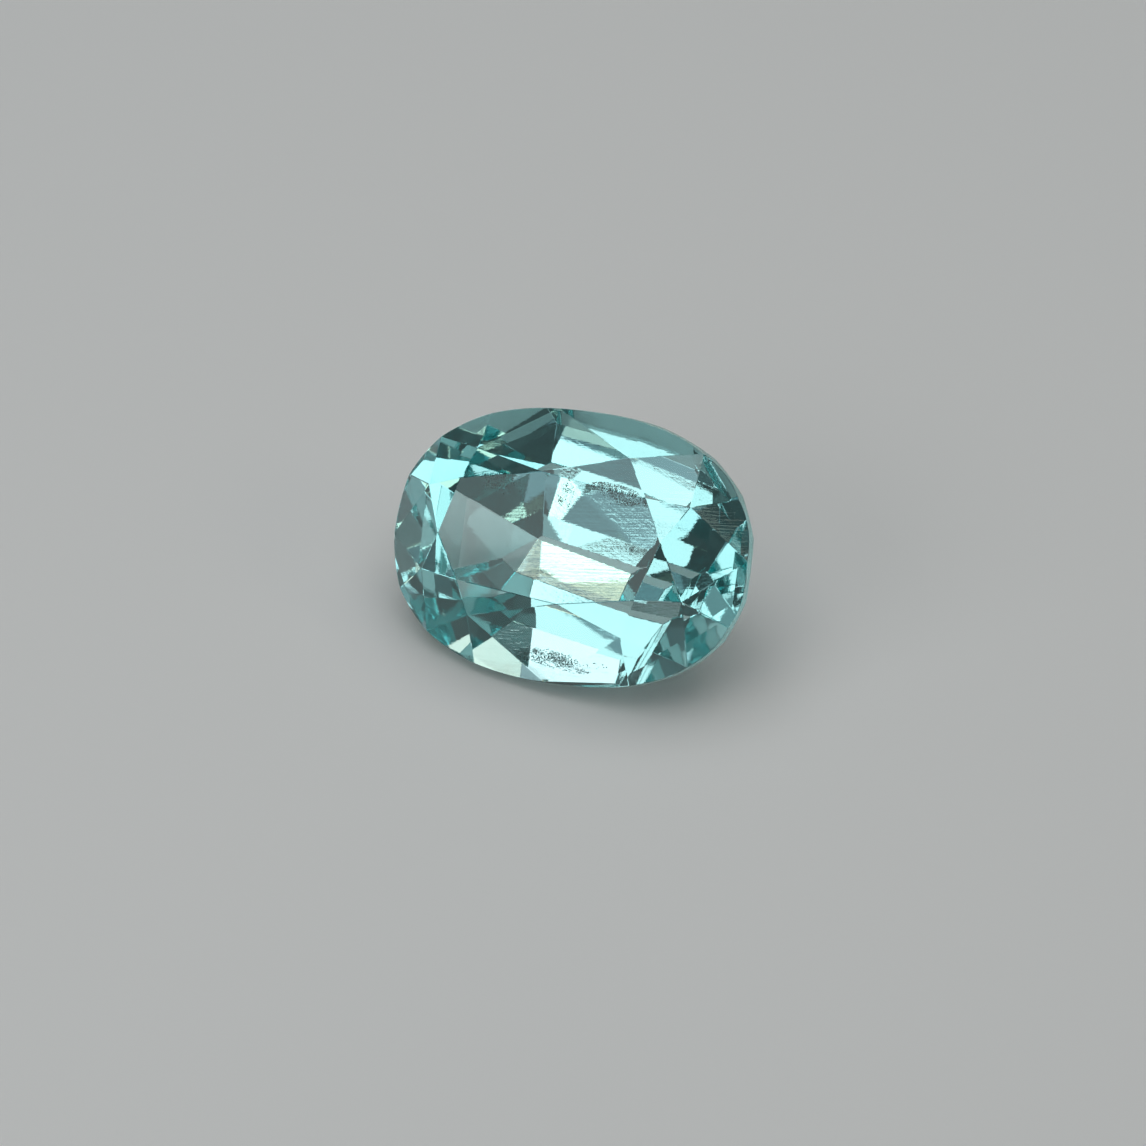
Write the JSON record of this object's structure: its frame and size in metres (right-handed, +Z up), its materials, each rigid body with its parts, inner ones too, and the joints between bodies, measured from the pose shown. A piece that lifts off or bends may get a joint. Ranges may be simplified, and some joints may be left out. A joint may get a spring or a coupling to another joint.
{
  "type": "faceted gemstone",
  "caption": "Loose transparent blue-green kunzite gemstone, cut as a faceted oval with a flat table and a keeled pavilion, lying on one long pavilion facet.",
  "frame": {"origin": "centre of the lying stone's bounding box, at the surface it lies on", "axes": "+X along the stone's length as it lies, towards the raised end; +Y away from the long side it leans on; +Z up from the surface"},
  "size_m": [0.0132, 0.0092, 0.0083],
  "materials": {
    "kunzite": "polished facets"
  },
  "bodies": {
    "root": {"gemstone": "kunzite"}
  },
  "joints": []
}
